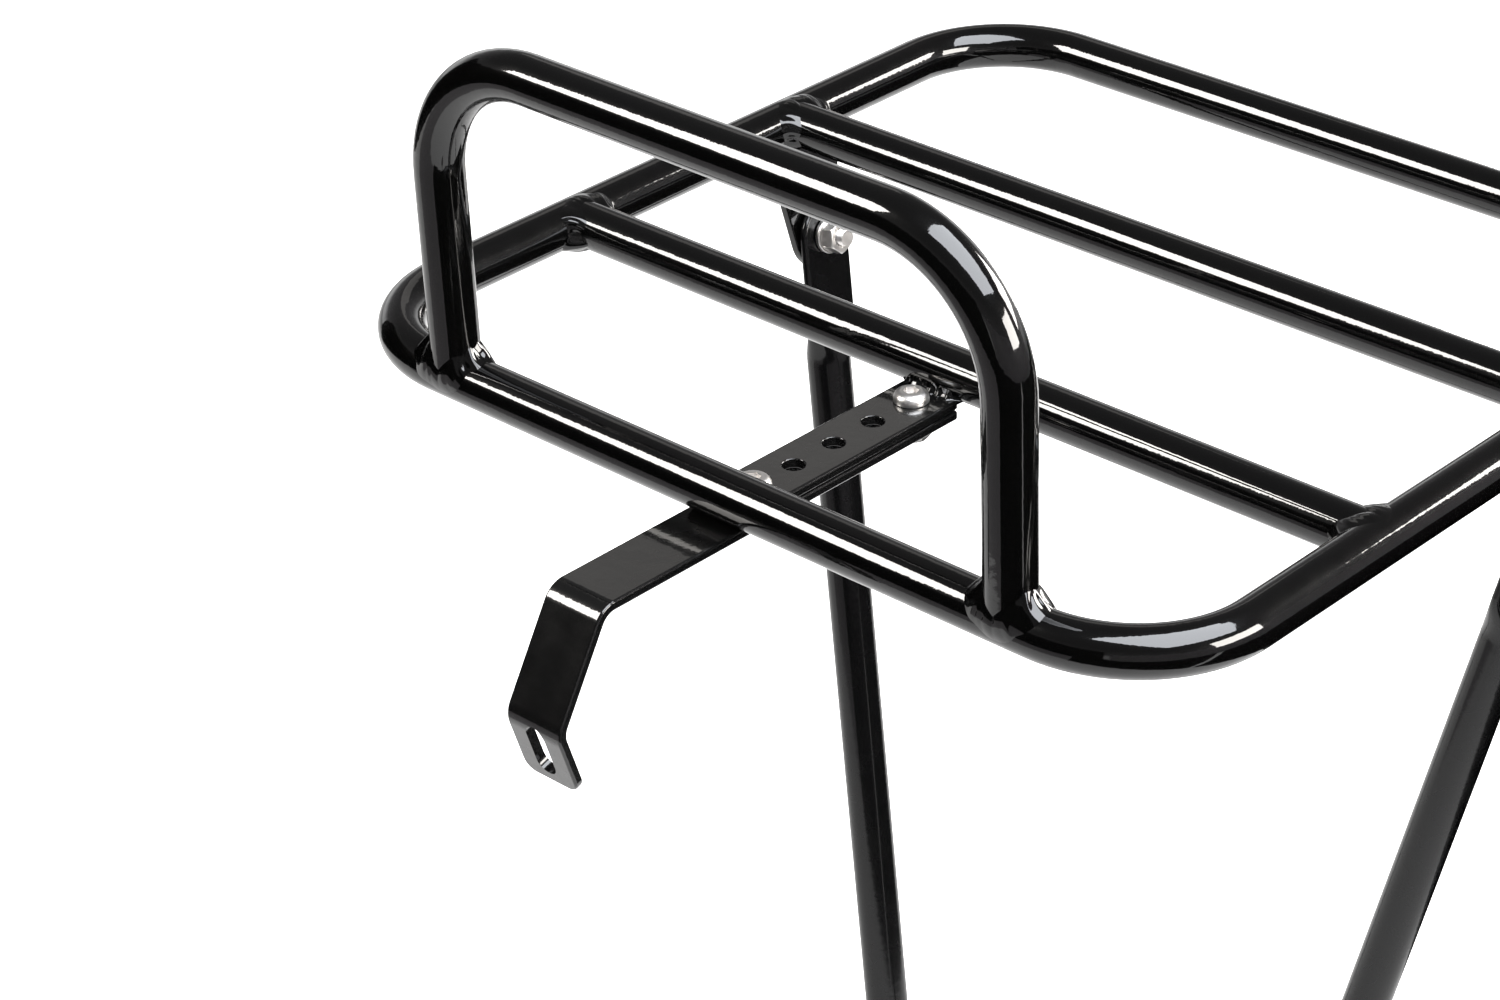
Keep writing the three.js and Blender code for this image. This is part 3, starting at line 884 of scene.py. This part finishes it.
def threaded_shank(length):
    """A screw's shank with a helical thread, from its tip up to z = 0."""
    root = BOLT_R - 0.58 * PITCH
    turns = int(length / PITCH) + 3
    points = []
    for i in range(turns):
        foot = -length + (i - 2) * PITCH
        points += [(root, foot), (BOLT_R, foot + 0.42 * PITCH), (BOLT_R, foot + 0.54 * PITCH)]
    points.append((root, points[-1][1] + 0.46 * PITCH))
    bm = bmesh.new()
    climb = Vector((0, 0, PITCH / TURN_STEPS))
    bmesh.ops.spin(
        bm, geom=profile_line(bm, points), cent=(0, 0, 0), axis=(0, 0, 1), dvec=climb,
        angle=2 * math.pi, steps=TURN_STEPS,
    )
    bmesh.ops.remove_doubles(bm, verts=bm.verts, dist=1e-6)
    for height, facing in ((-length, -1), (0.4 * MM, 1)):
        bmesh.ops.bisect_plane(
            bm, geom=bm.verts[:] + bm.edges[:] + bm.faces[:], plane_co=(0, 0, height),
            plane_no=(0, 0, facing), clear_outer=True,
        )
    return bm


def socket_cutter():
    """A hexagon broached into the head."""
    bm = bmesh.new()
    corner = SOCKET_FLATS / 2 / math.cos(math.pi / 6)
    cylinder(bm, corner, 2 * SOCKET_DEPTH, Vector((0, 0, HEAD_HEIGHT)), Z, 6)
    return bm


# %% Make one of each
def screw_head(name):
    """A domed head with a rolled rim and a flat round the socket."""
    rim = 0.7 * MM
    flat = 2.9 * MM
    points = [(0, 0), (HEAD_R - 0.25 * MM, 0), (HEAD_R, 0.25 * MM), (HEAD_R, rim)]
    for i in range(1, 13):
        t = math.pi / 2 * i / 12
        radius = flat + (HEAD_R - flat) * math.cos(t)
        points.append((radius, rim + (HEAD_HEIGHT - rim) * math.sin(t)))
    points.append((0, HEAD_HEIGHT))
    piece = settle(lathe(points), name, STEEL)
    return carve(piece, socket_cutter())


def hexagon(name):
    """A nut: a hexagon whose corners are turned off, bored and countersunk."""
    corner = NUT_FLATS / 2 / math.cos(math.pi / 6)
    bm = bmesh.new()
    cylinder(bm, corner, NUT_HEIGHT, Vector((0, 0, NUT_HEIGHT / 2)), Z, 6)
    piece = settle(bm, name, STEEL)
    face = NUT_FLATS / 2 * 0.96
    fall = 0.6 * MM
    outside = [(0, 0), (face, 0), (corner + 0.02 * MM, fall)]
    outside += [(corner + 0.02 * MM, NUT_HEIGHT - fall), (face, NUT_HEIGHT), (0, NUT_HEIGHT)]
    carve(piece, lathe(outside), "INTERSECT")
    bore = BOLT_R + 0.05 * MM
    wide = bore + 0.45 * MM
    inside = [(0, -MM), (wide + MM, -MM), (bore, 0.45 * MM)]
    inside += [(bore, NUT_HEIGHT - 0.45 * MM), (wide + MM, NUT_HEIGHT + MM), (0, NUT_HEIGHT + MM)]
    return carve(piece, lathe(inside))


def ring_washer(name):
    """A flat washer with soft edges."""
    bore = BOLT_R + 0.3 * MM
    soft = 0.2 * MM
    top = WASHER_THICK
    points = [
        (bore, soft), (bore + soft, 0), (WASHER_R - soft, 0), (WASHER_R, soft),
        (WASHER_R, top - soft), (WASHER_R - soft, top), (bore + soft, top), (bore, top - soft),
        (bore, soft),
    ]
    return settle(lathe(points), name, STEEL)


def fit(piece, matrix, body, node):
    """Put a finished fastener in its place, soften its edges and let it stand for its solid."""
    piece.data.transform(matrix)
    break_edges(piece, 0.12 * MM, 2, 30)
    stands_for(piece, "stainless", body, node)


def screw(name, length):
    """A head and its threaded shank as one piece."""
    head = screw_head(name)
    shank = settle(threaded_shank(length), name + "_shank", STEEL)
    bm = bmesh.new()
    bm.from_mesh(head.data)
    bm.from_mesh(shank.data)
    bm.to_mesh(head.data)
    bm.free()
    bpy.data.objects.remove(shank)
    return head


# %% Bolt the bracket up
def bracket_fastener(place):
    """A screw through the plate and the strap, with its nut below."""
    bolt_low, bolt_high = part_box(place + "_bracket_bolt")
    nut_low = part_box(place + "_bracket_nut")[0]
    seat = Vector((0, (bolt_low.y + bolt_high.y) / 2, plate_high.z))
    length = plate_high.z - bolt_low.z
    bolt = screw(place + "_bracket_screw", length)
    above = Matrix.Translation(seat) @ Matrix.Rotation(0.3, 4, "Z")
    fit(bolt, above, "rack", place + "_bracket_bolt")
    nut = hexagon(place + "_bracket_hexagon_nut")
    below = Matrix.Translation((0, seat.y, nut_low.z + GAP)) @ Matrix.Rotation(0.2, 4, "Z")
    fit(nut, below, "rack", place + "_bracket_nut")


for place in ("front", "rear"):
    bracket_fastener(place)


# %% Bolt the legs up
def leg_fasteners(place):
    """The pivot's screw passes the tab and the leg, and its nut is on the inner side."""
    side = SIDES_NAMED[place]
    outward = pivot_frame(place) @ Matrix.Rotation(side * math.pi / 2, 4, "Y")
    inward = pivot_frame(place) @ Matrix.Rotation(-side * math.pi / 2, 4, "Y")
    seat = FLAT_THICK / 2 + GAP + TAB_THICK
    bolt = screw(place + "_leg_screw", 15.5 * MM)
    fit(bolt, outward @ Matrix.Translation((0, 0, seat)), "rack", place + "_leg_bolt")
    washer = ring_washer(place + "_leg_plain_washer")
    fit(washer, inward @ Matrix.Translation((0, 0, inner_face)), "rack", place + "_leg_washer")
    nut = hexagon(place + "_leg_hexagon_nut")
    nut_seat = inner_face + WASHER_THICK
    turned = Matrix.Rotation(0.35, 4, "Z")
    fit(nut, inward @ Matrix.Translation((0, 0, nut_seat)) @ turned, "rack", place + "_leg_nut")


for place in SIDES_NAMED:
    leg_fasteners(place)

# %% [markdown]
# ## The studio
#
# A mirror-black object shows the room more than itself. The floor is plain and pale. Six soft
# lamps make the streaks: a key, a softbox beyond the platform's front, a faint panel that the
# strap's top reflects, a softbox at the right, a low strip, and a cooler one overhead. Black
# and grey cards stand round the rack, as in a product studio: they keep the tubes' near sides
# dark. The camera sees neither the lamps nor the cards, only their reflections. The lamps and
# cards were placed for this one view, so another view needs its own.

# %% The floor
FLOOR_Z = CAD_BOX[0][2] - 1 * MM


def plain_material(name, colour, rough):
    """A plain finish for the studio."""
    material, nodes, links, shader = new_material(name)
    shader.inputs["Base Color"].default_value = (*colour, 1)
    shader.inputs["Roughness"].default_value = rough
    shader.inputs["Specular IOR Level"].default_value = 0.0
    return material


PALE = plain_material("pale floor", (0.90, 0.90, 0.90), 1.0)
BLACK_CARD = plain_material("black card", (0.0, 0.0, 0.0), 1.0)
GREY_CARD = plain_material("grey card", (0.38, 0.38, 0.38), 1.0)
DIM_CARD = plain_material("dim card", (0.15, 0.145, 0.15), 1.0)
floor_mesh = bmesh.new()
bmesh.ops.create_circle(
    floor_mesh, cap_ends=True, radius=6.0, segments=64, matrix=Matrix.Translation((0, 0, FLOOR_Z))
)
floor = settle(floor_mesh, "floor", PALE, False)


# %% Cards round the rack
def bearing(degrees, distance, height):
    """A place at a bearing from the rack: 0 is straight behind it, and 90 its right."""
    angle = math.radians(degrees)
    return Vector((distance * math.sin(angle), -distance * math.cos(angle), height))


def card(name, first, second, start, span, finish=BLACK_CARD):
    """Spin an edge between two (distance, height) points about the rack, over a span."""
    bm = bmesh.new()
    a = bm.verts.new(bearing(start, *first))
    b = bm.verts.new(bearing(start, *second))
    edge = bm.edges.new((a, b))
    bmesh.ops.spin(
        bm, geom=[a, b, edge], cent=(0, 0, 0), axis=(0, 0, 1), angle=math.radians(span), steps=24
    )
    mesh = bpy.data.meshes.new(name)
    bm.to_mesh(mesh)
    bm.free()
    mesh.materials.append(finish)
    piece = bpy.data.objects.new(name, mesh)
    bpy.context.scene.collection.objects.link(piece)
    piece.visible_camera = False
    piece.visible_diffuse = False
    piece.visible_shadow = False
    return piece


card("near_wall_card", (1.3, FLOOR_Z), (1.3, 0.58), -100, 130)
card("side_wall_card", (2.6, FLOOR_Z), (2.6, 0.75), 30, 120, DIM_CARD)
card("grey_floor_card", (0.0, FLOOR_Z + MM), (6.0, FLOOR_Z + MM), 0, 360, GREY_CARD)
card("outer_floor_card", (0.55, FLOOR_Z + 2 * MM), (2.4, FLOOR_Z + 2 * MM), -60, 70, DIM_CARD)
card("near_floor_card", (0.5, FLOOR_Z + 3 * MM), (3.0, FLOOR_Z + 3 * MM), 10, 84)
card("side_floor_card", (0.5, FLOOR_Z + 3 * MM), (3.0, FLOOR_Z + 3 * MM), 98, 82)


# %% The lamps
def lamp(name, place, aim, width, height, strength, colour):
    """A soft rectangular lamp: strength is the brightness that a reflection shows."""
    light = bpy.data.lights.new(name, "AREA")
    light.shape = "RECTANGLE"
    light.size = width
    light.size_y = height
    light.color = colour
    light.energy = strength * math.pi * width * height
    rig = bpy.data.objects.new(name, light)
    rig.location = place
    rig.rotation_euler = (place - aim).to_track_quat("Z", "Y").to_euler()
    rig.visible_camera = False
    bpy.context.scene.collection.objects.link(rig)
    return rig


WARM = (1.0, 0.965, 0.92)
COOL = (0.92, 0.95, 1.0)
MIDDLE = Vector((0, 0.15, 0.05))


def from_middle(degrees, elevation, distance):
    """A place seen from the rack's middle at a bearing and an elevation."""
    rise = math.radians(elevation)
    return MIDDLE + bearing(degrees, distance * math.cos(rise), distance * math.sin(rise))


lamp("key", from_middle(-43, 35, 2.2), MIDDLE, 0.66, 0.86, 26, WARM)
lamp("rear_softbox", Vector((0.74, 1.84, 0.72)), Vector((0.12, 0.15, 0.72)), 1.04, 0.75, 25, WARM)
lamp("wall_panel", from_middle(-136, 30, 2.4), MIDDLE, 0.70, 0.46, 0.45, WARM)
lamp("side_softbox", from_middle(107, 18, 2.2), MIDDLE, 1.3, 0.7, 22, WARM)
lamp("low_strip", from_middle(-163, -12, 1.3), MIDDLE, 0.24, 0.14, 8, WARM)
lamp("overhead", Vector((0.75, 0.15, 1.25)), Vector((0.75, 0.15, 0)), 1.3, 1.3, 12, COOL)


# %% The room's own light
def room():
    """White all round for the floor, and a dim wall over a white skirting in reflections."""
    world = bpy.data.worlds.new("room")
    bpy.context.scene.world = world
    world.use_nodes = True
    world.cycles.sampling_method = "NONE"
    nodes, links = world.node_tree.nodes, world.node_tree.links
    place = nodes.new("ShaderNodeTexCoord")
    split = nodes.new("ShaderNodeSeparateXYZ")
    links.new(place.outputs["Generated"], split.inputs["Vector"])
    wall = nodes.new("ShaderNodeValToRGB")
    wall.color_ramp.elements[0].position = 0.08
    wall.color_ramp.elements[0].color = (1.1, 1.1, 1.1, 1)
    wall.color_ramp.elements[1].position = 0.21
    wall.color_ramp.elements[1].color = (0.27, 0.265, 0.27, 1)
    ceiling = wall.color_ramp.elements.new(0.5)
    ceiling.color = (0.135, 0.133, 0.135, 1)
    links.new(split.outputs["Z"], wall.inputs["Fac"])
    ray = nodes.new("ShaderNodeLightPath")
    mixer = nodes.new("ShaderNodeMixRGB")
    mixer.inputs["Color1"].default_value = (1.12, 1.12, 1.12, 1)
    links.new(ray.outputs["Is Glossy Ray"], mixer.inputs["Fac"])
    links.new(wall.outputs["Color"], mixer.inputs["Color2"])
    links.new(mixer.outputs["Color"], nodes["Background"].inputs["Color"])


room()
scene = bpy.context.scene
scene.view_settings.view_transform = "Standard"

# %% [markdown]
# ## The camera
#
# It stands behind the rack, on its right, and looks down on the platform. A long lens keeps the
# tubes' edges nearly parallel, as a catalogue view has them. It is set by its place and three
# angles, and not by aiming at a point, because the view has a slight roll.

# %% Place the camera
CAMERA_PLACE = Vector((0.640435, -0.597241, 0.573422))
CAMERA_TURN = math.radians(43.292)
CAMERA_DOWN = math.radians(29.685)
CAMERA_ROLL = math.radians(-1.06)
camera_data = bpy.data.cameras.new("camera")
camera_data.sensor_width = 36
camera_data.lens = 94.6
camera_data.clip_start = 0.01
camera = bpy.data.objects.new("camera", camera_data)
scene.collection.objects.link(camera)
look = Matrix.Rotation(CAMERA_TURN, 4, "Z") @ Matrix.Rotation(math.pi / 2 - CAMERA_DOWN, 4, "X")
camera.matrix_world = Matrix.Translation(CAMERA_PLACE) @ look @ Matrix.Rotation(CAMERA_ROLL, 4, "Z")
scene.camera = camera
print(f"camera {CAMERA_PLACE.length:.2f} m away with a {camera_data.lens:.1f} mm lens")

# %% Print the solid model's box
print("solid model's box:", CAD_BOX)
